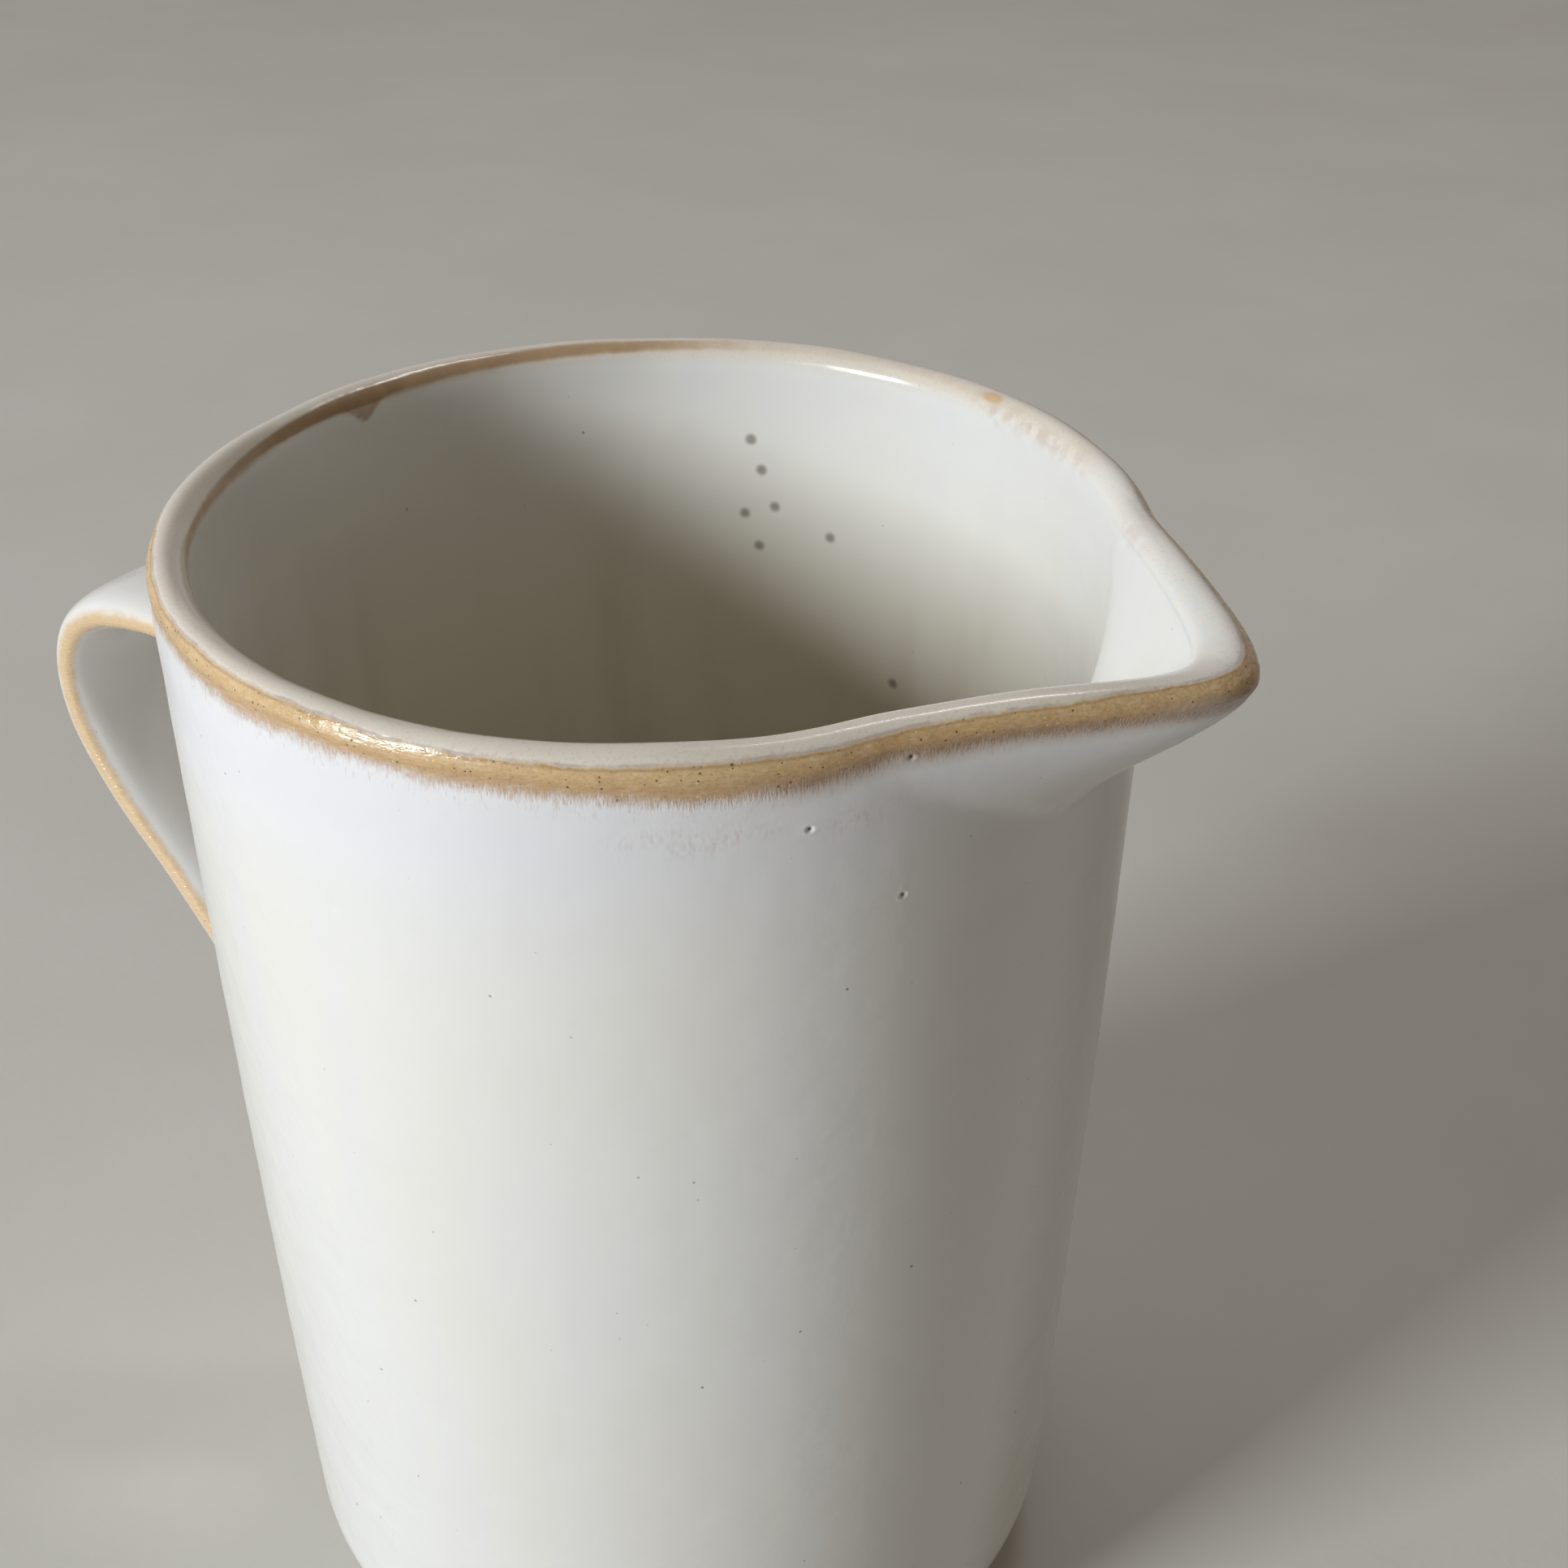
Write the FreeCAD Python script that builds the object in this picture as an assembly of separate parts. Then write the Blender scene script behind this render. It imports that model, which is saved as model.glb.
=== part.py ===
import FreeCAD, Part
import math
import os

# A glazed stoneware pitcher: a slightly tapered round vessel with a pulled spout and a strap handle.
# Frame: origin at the centre of the foot's resting plane, +Z up, spout toward +X, handle toward -X.
# Millimetres throughout. "Skin" is a depth measured inwards from the glazed surface: 0 is the outside
# of the glaze, and glaze_thickness is the surface of the clay.

# Vessel
height = 140.0                   # resting plane to the crest of the lip
rim_radius = 50.0                # outer radius at the lip, over the glaze
base_radius = 46.2               # radius that the wall line has when carried down to the resting plane
belly = 0.67                     # how far the wall swells beyond the straight taper at mid-height
corner_radius = 13.0             # rounding between the wall and the underside
wall_thickness = 4.8             # clay with both glaze coats
lip_thickness = 4.2              # the same at the lip
lip_taper_depth = 20.0           # depth over which the wall thins towards the lip
glaze_thickness = 0.4

# Foot
foot_height = 1.5                # how far the foot ring lifts the underside
foot_outer_radius = 33.0
foot_inner_radius = 28.5
foot_overlap = 1.0               # how far the foot ring runs up into the floor
glaze_line_height = 3.0          # the outer glaze stops here, to leave the foot bare

# Spout
spout_reach = 18.0               # from the rim circle to the point where the spout's sides would meet
spout_depth = 20.5               # below the rim, where the spout has faded into the wall
spout_waist = 0.85               # how far inside the rim circle the spout's straight sides aim
spout_tip_softness = 4.9         # degrees, rounds the spout's tip in plan
spout_blend = 0.5                # softness of the change from the round wall to the spout's sides
spout_undercut = 0.42            # drop per depth into the wall, for an even wall under the spout
wing_lift = 1.0                  # extra height of the lip on both shoulders of the spout
wing_angle = 16.0                # degrees from the spout's tip to each shoulder
wing_spread = 15.0               # degrees

# Rim band
rim_band_depth = 4.8             # from the lip's crest down to the lower edge of the tan glaze

# Handle, on the -X side, in the XZ plane
handle_centre_line = (
    (-47.0, 103.5),
    (-62.0, 108.2),
    (-76.5, 108.7),
    (-85.7, 104.6),
    (-89.1, 96.0),
    (-85.9, 86.0),
    (-73.0, 70.2),
    (-59.7, 53.0),
    (-46.0, 35.4),
)
strap_width = 17.0               # over the clay
strap_thickness = 5.0
strap_end_width = 21.0           # where the strap has been pressed onto the wall
strap_end_thickness = 9.0
strap_flare_length = 13.0        # along the handle from where its centre line enters the wall
joint_length = 8.0               # length of handle, from the wall, that each joint piece takes up
wall_entry = 4.0                 # length of centre line that runs inside the wall, at both ends
strap_squareness = 2.6           # exponent of the strap's rounded outline, 2 is an ellipse

# Fineness of the surfaces
section_points = 56              # points round each closed section of the vessel
point_crowding = 1.8             # above 1 crowds those points towards the spout
section_gap = 18.0               # furthest apart that two sections of the vessel's wall lie
spout_section_gap = 2.2          # the same where the spout is
corner_turn = 20.0               # degrees of the base corner between two sections
lip_turn = 30.0                  # degrees of the round lip between two sections
handle_section_gap = 6.0
handle_section_points = 24
hidden_steps = 2                 # sections over the hidden underside of the base corner
least_sections = 3               # fewest sections that bend a length of the handle
loft_degree = 3
match = 1e-6                     # places on the path this close are the same place
sewing_tolerance = 0.01

# The profile of the vessel is one path, numbered by stages: 0 to 1 turns the base corner, 1 to 2 climbs
# the outside, 2 to 3 rounds the lip, 3 to 4 goes down the inside and 4 to 5 turns the inner corner.
CORNER_TOP = 1.0
LIP_OUTSIDE = 2.0
LIP_CREST = 2.5
LIP_INSIDE = 3.0
PATH_END = 5.0


def smooth_step(value):
    """Rise from 0 to 1 with level ends."""
    value = min(1.0, max(0.0, value))
    return value * value * (3.0 - 2.0 * value)


def wall_radius(z):
    """Outer radius of the round wall at a height, without corner or spout."""
    share = z / height
    return base_radius + (rim_radius - base_radius) * share + belly * 4.0 * share * (1.0 - share)


def spout_radius(angle, z, inward):
    """Radius of the vessel's surface at an angle from the spout (radians) and a height.

    Inward is the depth inside the glazed outside. The spout's slope is followed by reading its shape
    a little lower down, so that the wall keeps its thickness under the spout.
    """
    radius = wall_radius(z)
    depth = height - z + inward * spout_undercut
    fade = 1.0 - smooth_step(depth / spout_depth)
    if fade <= 0.0:
        return radius - inward
    aim = radius - spout_waist
    apex = aim + (spout_reach + spout_waist) * fade
    softness = math.radians(spout_tip_softness)
    swing = softness * math.log(2.0 * math.cosh(angle / softness))
    bearing = min(math.asin(aim / apex) + swing, math.pi / 2)
    gap = (aim - inward) / math.sin(bearing) - (radius - inward)
    return radius - inward + 0.5 * (gap + math.hypot(gap, spout_blend * fade))


def lip_height(angle):
    """Height of the lip's crest at an angle from the spout."""
    off = (abs(math.degrees(angle)) - wing_angle) / wing_spread
    return height + wing_lift * math.exp(-off * off)


def lip_base_height():
    """Height where the straight wall ends and the round lip starts."""
    return height - lip_thickness / 2


def wall_place(z):
    """Where on the path the outside of the wall reaches a height."""
    corner_top = foot_height + corner_radius
    if z < corner_top:
        return math.acos(1.0 - (z - foot_height) / corner_radius) / (math.pi / 2)
    return CORNER_TOP + (z - corner_top) / (lip_base_height() - corner_top)


def wall_point(angle, z, inward):
    """Point of the upright wall, lifted where the lip rises beside the spout."""
    radius = spout_radius(angle, z, inward)
    lift = (lip_height(angle) - height) * smooth_step(1.0 - (height - z) / spout_depth)
    return FreeCAD.Vector(radius * math.cos(angle), radius * math.sin(angle), z + lift)


def corner_point(angle, turn, inward):
    """Point of the rounded base corner: turn is 0 underneath and 90 degrees at the wall."""
    centre_z = foot_height + corner_radius
    reach = corner_radius - inward
    radius = wall_radius(centre_z) - corner_radius + reach * math.sin(turn)
    z = centre_z - reach * math.cos(turn)
    return FreeCAD.Vector(radius * math.cos(angle), radius * math.sin(angle), z)


def lip_point(angle, turn, skin):
    """Point of the rounded lip: turn is 0 on its outside and 180 degrees on its inside."""
    half = lip_thickness / 2
    point = wall_point(angle, lip_base_height(), half - (half - skin) * math.cos(turn))
    point.z += (half - skin) * math.sin(turn)
    return point


def path_point(angle, place, skin):
    """Point anywhere on the path, the skin depth inside the glaze."""
    mirrored = min(place, PATH_END - place)
    corner_top = foot_height + corner_radius
    z = corner_top + (lip_base_height() - corner_top) * (mirrored - CORNER_TOP)
    taper = smooth_step((height - z) / lip_taper_depth)
    thickness = lip_thickness + (wall_thickness - lip_thickness) * taper
    inward = skin if place < LIP_CREST else thickness - skin
    if mirrored < CORNER_TOP:
        return corner_point(angle, mirrored * math.pi / 2, inward)
    if mirrored < LIP_OUTSIDE:
        return wall_point(angle, z, inward)
    return lip_point(angle, (place - LIP_OUTSIDE) * math.pi, skin)


def closed_curve(points):
    """Smooth closed wire through the points."""
    curve = Part.BSplineCurve()
    curve.interpolate(Points=points, PeriodicFlag=True)
    return Part.Wire(curve.toShape())


def vessel_section(place, skin):
    """Closed section of the vessel at one place on the path, with its points crowded at the spout."""
    half = section_points // 2
    shares = [index / half for index in range(0, half + 1)]
    shares += [index / half for index in range(1 - half, 0)]
    angles = [math.copysign(math.pi * abs(share) ** point_crowding, share) for share in shares]
    return closed_curve([path_point(angle, place, skin) for angle in angles])


def path_strips():
    """The places where the path is split into strips, each with its number of steps."""
    glaze_line = wall_place(glaze_line_height)
    spout_start = wall_place(height - spout_depth)
    band_edge = wall_place(height - rim_band_depth)
    corner_steps = math.ceil(90 * (1 - glaze_line) / corner_turn)
    wall_steps = math.ceil((height - spout_depth - corner_radius) / section_gap)
    spout_steps = math.ceil((spout_depth - rim_band_depth) / spout_section_gap)
    band_steps = math.ceil((rim_band_depth - lip_thickness / 2) / spout_section_gap)
    lip_steps = round(90 / lip_turn)
    return (
        (0.0, glaze_line, hidden_steps),
        (glaze_line, CORNER_TOP, corner_steps),
        (CORNER_TOP, spout_start, wall_steps),
        (spout_start, band_edge, spout_steps),
        (band_edge, LIP_OUTSIDE, band_steps),
        (LIP_OUTSIDE, LIP_CREST, lip_steps),
        (LIP_CREST, LIP_INSIDE, lip_steps),
        (LIP_INSIDE, PATH_END - spout_start, spout_steps + band_steps),
        (PATH_END - spout_start, PATH_END - CORNER_TOP, wall_steps),
        (PATH_END - CORNER_TOP, PATH_END, corner_steps),
    )


def skin_faces(start, end, skin):
    """Smooth faces of one skin between two places on the path."""
    faces = []
    for low, high, steps in path_strips():
        if low < start - match or high > end + match:
            continue
        places = [low + (high - low) * index / steps for index in range(steps + 1)]
        sections = [vessel_section(place, skin) for place in places]
        faces += Part.makeLoft(sections, False, False, False, loft_degree).Faces
    return faces


def edge_ring(place):
    """The narrow face between the glaze's outside and the clay at one place on the path."""
    sections = [vessel_section(place, 0), vessel_section(place, glaze_thickness)]
    return Part.makeLoft(sections, False, True).Faces


def disc(place, skin):
    """Flat round face that closes an end of the path."""
    return [Part.Face(vessel_section(place, skin))]


def closed_solid(faces):
    """One solid from faces that meet edge to edge."""
    shell = Part.makeCompound(faces)
    shell.sewShape(sewing_tolerance)
    return Part.makeSolid(Part.makeShell(shell.Faces))


def whole_vessel(skin):
    """The hollow vessel with all its faces at one skin depth."""
    return closed_solid(skin_faces(0, PATH_END, skin) + disc(0, skin) + disc(PATH_END, skin))


def coat(start, end):
    """The glaze between two places on the path."""
    faces = skin_faces(start, end, 0) + skin_faces(start, end, glaze_thickness) + edge_ring(start)
    if end == PATH_END:
        return closed_solid(faces + disc(end, 0) + disc(end, glaze_thickness))
    return closed_solid(faces + edge_ring(end))


def foot_ring():
    """The bare ring that the pitcher stands on."""
    ring_height = foot_height + glaze_thickness + foot_overlap
    outer = Part.makeCylinder(foot_outer_radius, ring_height)
    inner = Part.makeCylinder(foot_inner_radius, ring_height)
    return outer.cut(inner)


def centre_curve():
    """Centre line of the handle, from inside the wall at the top to inside the wall at the bottom."""
    points = [FreeCAD.Vector(x, 0, z) for x, z in handle_centre_line]
    curve = Part.BSplineCurve()
    curve.interpolate(points)
    return curve


def handle_section(curve, distance, skin):
    """Rounded outline of the strap at a distance along its centre line, grown outwards by the skin."""
    place = curve.parameterAtDistance(distance)
    centre = curve.value(place)
    along = curve.tangent(place)[0]
    across = FreeCAD.Vector(0, 1, 0)
    out = along.cross(across)
    to_end = min(distance, curve.length() - distance) - wall_entry
    flare = 1.0 - smooth_step(to_end / strap_flare_length)
    half_width = (strap_width + (strap_end_width - strap_width) * flare) / 2 + skin
    half_depth = (strap_thickness + (strap_end_thickness - strap_thickness) * flare) / 2 + skin
    points = []
    for index in range(handle_section_points):
        turn = 2 * math.pi * index / handle_section_points
        wide = math.copysign(abs(math.cos(turn)) ** (2 / strap_squareness), math.cos(turn))
        deep = math.copysign(abs(math.sin(turn)) ** (2 / strap_squareness), math.sin(turn))
        points.append(centre + across * (half_width * wide) + out * (half_depth * deep))
    return closed_curve(points)


def handle_length_of(curve, start, end, skin):
    """Solid length of the handle between two distances along its centre line."""
    count = max(least_sections, round((end - start) / handle_section_gap) + 1)
    places = [start + (end - start) * index / (count - 1) for index in range(count)]
    return Part.makeLoft([handle_section(curve, place, skin) for place in places], True)


def largest(shape):
    """The biggest solid of a cut's result."""
    return max(shape.Solids, key=lambda solid: solid.Volume)


def save(name, shape):
    """Write one piece under its node name."""
    shape.exportStep(os.path.join("parts", name + ".step"))


def build():
    os.makedirs("parts", exist_ok=True)

    clay = whole_vessel(glaze_thickness).fuse(foot_ring())
    curve = centre_curve()
    length = curve.length()
    upper_cut = wall_entry + joint_length
    lower_cut = length - wall_entry - joint_length
    strap = handle_length_of(curve, upper_cut, lower_cut, 0)
    upper_joint = largest(handle_length_of(curve, 0, upper_cut, 0).cut(clay))
    lower_joint = largest(handle_length_of(curve, lower_cut, length, 0).cut(clay))
    handle_clay = [strap, upper_joint, lower_joint]

    glaze_line = wall_place(glaze_line_height)
    band_edge = wall_place(height - rim_band_depth)
    outer = coat(glaze_line, band_edge).cut([upper_joint, lower_joint])
    handle_coat = handle_length_of(curve, 0, length, glaze_thickness)
    handle_coat = handle_coat.cut(handle_clay + [whole_vessel(0)])

    save("vessel_clay", clay)
    save("handle_strap", strap)
    save("upper_joint_slip", upper_joint)
    save("lower_joint_slip", lower_joint)
    save("outer_glaze", largest(outer))
    save("rim_glaze", coat(band_edge, LIP_CREST))
    save("liner_glaze", coat(LIP_CREST, PATH_END))
    save("handle_glaze", largest(handle_coat))


build()
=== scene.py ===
import math

import bpy
import numpy as np
from mathutils import Matrix, Vector


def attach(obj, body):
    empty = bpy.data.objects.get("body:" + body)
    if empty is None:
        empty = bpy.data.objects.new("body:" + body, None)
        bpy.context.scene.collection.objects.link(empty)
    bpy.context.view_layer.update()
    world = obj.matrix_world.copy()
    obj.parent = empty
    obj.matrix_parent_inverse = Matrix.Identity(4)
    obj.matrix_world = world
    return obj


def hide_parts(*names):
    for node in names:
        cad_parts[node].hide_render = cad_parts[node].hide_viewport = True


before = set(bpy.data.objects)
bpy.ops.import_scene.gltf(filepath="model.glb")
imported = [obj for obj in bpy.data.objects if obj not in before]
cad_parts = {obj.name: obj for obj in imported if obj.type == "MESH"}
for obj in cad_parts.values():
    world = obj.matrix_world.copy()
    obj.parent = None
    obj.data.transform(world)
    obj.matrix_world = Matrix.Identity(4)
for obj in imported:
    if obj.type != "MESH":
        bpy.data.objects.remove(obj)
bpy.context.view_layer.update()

# Millimetres in the shape formulas, metres in the scene. Angles run from the spout (+X) about +Z.
MM = 0.001

# Vessel: the same closed formulas as in the CAD, so that each coat lies on the clay.
HEIGHT = 140.0
RIM_RADIUS = 50.0
BASE_RADIUS = 46.2
BELLY = 0.67
CORNER_RADIUS = 13.0
WALL_THICKNESS = 4.8
LIP_THICKNESS = 4.2
LIP_TAPER_DEPTH = 20.0
FOOT_HEIGHT = 1.5
GLAZE_LINE_HEIGHT = 3.0
RIM_BAND_DEPTH = 4.8
SPOUT_REACH = 18.0
SPOUT_DEPTH = 20.5
SPOUT_WAIST = 0.85
SPOUT_TIP_SOFTNESS = math.radians(4.9)
SPOUT_BLEND = 0.5
SPOUT_UNDERCUT = 0.42
WING_LIFT = 1.0
WING_ANGLE = 16.0
WING_SPREAD = 15.0
COAT_BACK = 0.36                 # depth of a coat's hidden face, about where the clay starts

# The profile path: 0-1 base corner, 1-2 outside, 2-3 lip, 3-4 inside, 4-5 inner corner, 5-6 floor.
CORNER_TOP, LIP_OUTSIDE, LIP_CREST, LIP_INSIDE, INNER_CORNER, FLOOR_EDGE, FLOOR_CENTRE = 1, 2, 2.5, 3, 4, 5, 6
FLOOR_LAST = 5.97                # last ring before the middle of the floor
EDGE_ROLL = 0.014                # how far the outer coat's lower edge bulges down, along the path
SAME_PLACE = 1e-7                # places on the path this close are the same place
BACK_ROW_EVERY = 4               # a coat's hidden back has one row for so many of its face
CORNER_ROWS = 12                 # rows round the base corner, round the inner corner and on the floor
LIP_ROWS = 33

# Hand-made unevenness: height, turns round the vessel, rise per millimetre, phase
BROAD_WAVES = ((0.07, 2, 0.013, 0.7), (0.045, 3, -0.031, 2.1), (0.03, 5, 0.047, 0.4))
LIP_WAVES = ((0.06, 7, 0.0, 1.1), (0.05, 11, 0.0, 0.3), (0.035, 19, 0.0, 0.0))
LIP_WAVES_REACH = 6.0            # how far from the crest the lip's own waves matter
STILL_RADIUS = 30.0              # the waves fade out on the floor inside this radius

# Glaze: distances along the profile from the lip's crest, and marks at (degrees, height)
BAND_SINK = 0.07                 # the tan glaze is thinner than the white
LIP_SINK = 0.26                  # the lip's inner half is worn lower than a half circle
LIP_SINK_PLACE = -1.4            # where along the profile, and over what length
LIP_SINK_LENGTH = 2.0
DEEPEST_DENT = 0.31              # nothing on the surface may reach the coat's hidden back
RIDGE_HEIGHT = 0.035             # the white glaze stands up in a low ridge in the tan band
RIDGE_SWELL = (0.06, -88, 26)    # where it is higher: by how much, direction, half width in degrees
RIDGE_PLACE = 1.6                # below the band's top
RIDGE_LENGTH = 0.33
DRIP = (172.5, 2.2, 1.9)         # on the inner band: direction, half width in degrees, length

# How the bands wander round the lip, at directions in degrees from the spout
BAND_TOP_SOFTNESS = 0.5          # length over which the sunk band begins and ends
BAND_LOW_SOFTNESS = 1.6
DIRECTIONS = (-180, -140, -100, -80, -60, -45, -30, -15, 0, 20, 60, 120)
BAND_TOP = (1.3, 1.4, 1.6, 1.8, 2.05, 2.05, 1.7, 2.0, 1.2, 1.0, 0.8, 0.8)
BAND_LOW = (4.4, 4.6, 4.6, 4.9, 5.2, 5.1, 4.3, 4.8, 5.3, 4.8, 4.4, 4.2)
INNER_DIRECTIONS = (0, 50, 62, 76, 90, 112, 130, 170, 200, 240, 262, 300)
INNER_STRENGTH = (0.0, 0.0, 0.25, 0.35, 0.25, 0.35, 0.80, 0.95, 0.90, 0.5, 0.10, 0.0)
INNER_TOP = (2.4, 2.0, 0.9, 0.2, 0.0, 0.1, 0.3, 0.7, 2.0, 2.5, 2.6, 2.6)
INNER_LOW = (3.0, 2.6, 1.8, 1.9, 1.5, 1.9, 2.3, 2.8, 3.3, 3.4, 3.4, 3.2)
PINHOLES = (                     # degrees, height, radius, depth
    (-39.3, 131.8, 0.45, 0.20),
    (-29.0, 122.8, 0.45, 0.20),
    (-29.2, 136.8, 0.40, 0.20),
    (-89.6, 119.7, 0.95, 0.06),
)
DARK_PIT_BELOW = 0.6             # wider dents are smooth dimples, without a dark pit
PIT_RADIUS = 0.27
PIT_DEPTH = 0.12
LINER_SPOT_RADIUS = 1.0
LINER_SPOT_DEPTH = 0.3
LINER_SPOTS = (                  # degrees, height
    (112.2, 128.4),
    (110.5, 124.6),
    (113.1, 118.8),
    (108.3, 120.0),
    (110.8, 114.6),
    (99.1, 117.0),
    (87.0, 99.4),
)

# Handle, in the XZ plane behind the vessel
HANDLE_LINE = (
    (-47.0, 103.5),
    (-62.0, 108.2),
    (-76.5, 108.7),
    (-85.7, 104.6),
    (-89.1, 96.0),
    (-85.9, 86.0),
    (-73.0, 70.2),
    (-59.7, 53.0),
    (-46.0, 35.4),
)
STRAP_WIDTH = 17.0               # over the clay
STRAP_THICKNESS = 5.0
STRAP_END_WIDTH = 21.0           # where the strap has been pressed onto the wall
STRAP_END_THICKNESS = 9.0
STRAP_FLARE_LENGTH = 13.0
WALL_ENTRY = 4.0                 # length of centre line inside the wall, at both ends
STRAP_SQUARENESS = 2.6
STRAP_SKIN = 0.42                # glaze over the clay
STRAP_HOLLOW = 0.16              # shallow groove down the middle of both faces
HANDLE_OVERRUN = 9.0             # straight length added at both ends, to carry the strap inside
HANDLE_ROW_GAP = 0.36
HANDLE_RING = 112                # points round the strap
CURVE_SAMPLES = 4000             # fine points on the centre line, and on each straight end
OVERRUN_SAMPLES = 400
EDGE_START = 0.80                # the orange edges, as a share of the strap's half width
EDGE_RISE = 0.17
FILLET_REACH = 6.0               # how far from the wall the fillet starts
FILLET_SPREAD = 2.8              # how far it runs out over the wall
JOINT_SINK = 0.3                 # how deep the fillet's edge lies under the glaze of the wall

# Camera and light
CAMERA_PLACE = (117.46, -156.07, 227.141)
CAMERA_TURN = (123.18, 31.685, 0.344)    # heading, downward pitch and roll, in degrees
CAMERA_LENS = 48.43
CAMERA_SENSOR = 36.0
CAMERA_NEAREST = 0.005           # metres; anything closer isn't drawn
LIGHT_AIM = Vector((0.0, 0.0, 0.09))
# Each light: azimuth, elevation, distance, size, power, colour
WINDOW_LIGHT = (247.0, 19.0, 2.2, (0.62, 0.66), 48.5, (0.90, 0.953, 1.0))
HIGH_LIGHT = (100.0, 60.0, 1.2, (0.25, 0.10), 1.2, (1.0, 1.0, 1.0))
ROOM_COLOUR = (0.113, 0.093, 0.064, 1.0)     # dim warm light from all round
WALL_COLOUR = (0.53, 0.51, 0.50, 1.0)        # light off a pale wall behind the pitcher
WALL_AZIMUTH = 140.0
WALL_EDGE = 0.75                 # cosine of the angle off the wall's middle where it is fully bright
BACKDROP_COLOUR = (0.48, 0.48, 0.49, 1.0)    # what the camera sees beyond the floor
FLOOR_HALF_SIZE = 3.0


def smooth_step(value):
    """Rise from 0 to 1 with level ends."""
    value = np.clip(value, 0.0, 1.0)
    return value * value * (3.0 - 2.0 * value)


def wall_radius(z):
    """Outer radius of the round wall at a height."""
    share = z / HEIGHT
    return BASE_RADIUS + (RIM_RADIUS - BASE_RADIUS) * share + BELLY * 4.0 * share * (1.0 - share)


def spout_radius(angle, z, inward):
    """Radius of the vessel at an angle and height, at a depth inside its glazed outside."""
    radius = wall_radius(z)
    fade = 1.0 - smooth_step((HEIGHT - z + inward * SPOUT_UNDERCUT) / SPOUT_DEPTH)
    aim = radius - SPOUT_WAIST
    apex = aim + (SPOUT_REACH + SPOUT_WAIST) * fade
    swing = SPOUT_TIP_SOFTNESS * np.log(2.0 * np.cosh(angle / SPOUT_TIP_SOFTNESS))
    bearing = np.minimum(np.arcsin(aim / apex) + swing, math.pi / 2)
    gap = (aim - inward) / np.sin(bearing) - (radius - inward)
    raised = 0.5 * (gap + np.hypot(gap, SPOUT_BLEND * fade))
    return radius - inward + np.where(fade > 0.0, raised, 0.0)


def polar(radius, angle, z):
    """Points from radius, angle and height."""
    return np.stack([radius * np.cos(angle), radius * np.sin(angle), z + 0.0 * angle], axis=-1)


def wall_points(angle, z, inward):
    """A level ring of the wall, lifted where the lip rises beside the spout."""
    off = (np.abs(np.degrees(angle)) - WING_ANGLE) / WING_SPREAD
    lift = WING_LIFT * np.exp(-off * off) * smooth_step(1.0 - (HEIGHT - z) / SPOUT_DEPTH)
    return polar(spout_radius(angle, z, inward), angle, z + lift)


def path_points(angle, place, skin):
    """The ring at one place on the profile path, the skin depth inside the glaze."""
    corner_top = FOOT_HEIGHT + CORNER_RADIUS
    lip_base = HEIGHT - LIP_THICKNESS / 2
    mirrored = min(place, FLOOR_EDGE - place)
    z = corner_top + (lip_base - corner_top) * (mirrored - CORNER_TOP)
    taper = smooth_step((HEIGHT - z) / LIP_TAPER_DEPTH)
    thickness = LIP_THICKNESS + (WALL_THICKNESS - LIP_THICKNESS) * taper
    inward = skin if place < LIP_CREST else thickness - skin
    if LIP_OUTSIDE <= place <= LIP_INSIDE:
        half = LIP_THICKNESS / 2
        turn = (place - LIP_OUTSIDE) * math.pi
        ring = wall_points(angle, lip_base, half - (half - skin) * math.cos(turn))
        ring[:, 2] += (half - skin) * math.sin(turn)
        return ring
    if mirrored >= CORNER_TOP:
        return wall_points(angle, z, inward)
    turn = max(mirrored, 0.0) * math.pi / 2
    reach = CORNER_RADIUS - inward
    radius = wall_radius(corner_top) - CORNER_RADIUS + reach * math.sin(turn)
    radius *= min(1.0, FLOOR_CENTRE - place)
    return polar(radius + 0.0 * angle, angle, corner_top - reach * math.cos(turn))


def wall_place(z):
    """Where on the path the outside reaches a height."""
    corner_top = FOOT_HEIGHT + CORNER_RADIUS
    if z < corner_top:
        return math.acos(1.0 - (z - FOOT_HEIGHT) / CORNER_RADIUS) / (math.pi / 2)
    return CORNER_TOP + (z - corner_top) / (HEIGHT - LIP_THICKNESS / 2 - corner_top)


GLAZE_START = wall_place(GLAZE_LINE_HEIGHT)


def waves(angle, z, table):
    """The sum of some sine waves round the vessel."""
    return sum(height * np.sin(turns * angle + z * rise + phase) for height, turns, rise, phase in table)


def relief(angle, z, drop):
    """Hand-made unevenness of the glaze: slow waves, rings left by the fingers, and a wavy lip."""
    rings = 0.016 * np.sin(z * 0.78 + 1.3 * np.sin(angle + 0.5)) + 0.012 * np.sin(z * 0.41 - angle)
    near_lip = np.exp(-(drop / LIP_WAVES_REACH) ** 2)
    return waves(angle, z, BROAD_WAVES) + rings * (1.0 - near_lip) + waves(angle, z, LIP_WAVES) * near_lip


def grid_normals(points):
    """Unit normals of a grid that is closed along its columns, pointing out of the surface."""
    along = np.roll(points, -1, axis=1) - np.roll(points, 1, axis=1)
    up = np.gradient(points, axis=0)
    normals = np.cross(along, up)
    return normals / np.maximum(np.linalg.norm(normals, axis=2, keepdims=True), 1e-12)


def lip_distance(points, places):
    """Distance along the profile from the lip's crest: positive down the outside, negative inside."""
    steps = np.linalg.norm(np.diff(points, axis=0), axis=2)
    travelled = np.concatenate([np.zeros((1, points.shape[1])), np.cumsum(steps, axis=0)])
    crest = travelled[np.argmin(np.abs(places - LIP_CREST))]
    return crest - travelled


def bell(angle, centre, width):
    """Smooth bump round one direction; centre and width in degrees."""
    off = (np.degrees(angle) - centre + 180.0) % 360.0 - 180.0
    return np.exp(-(off / width) ** 2)


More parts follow.
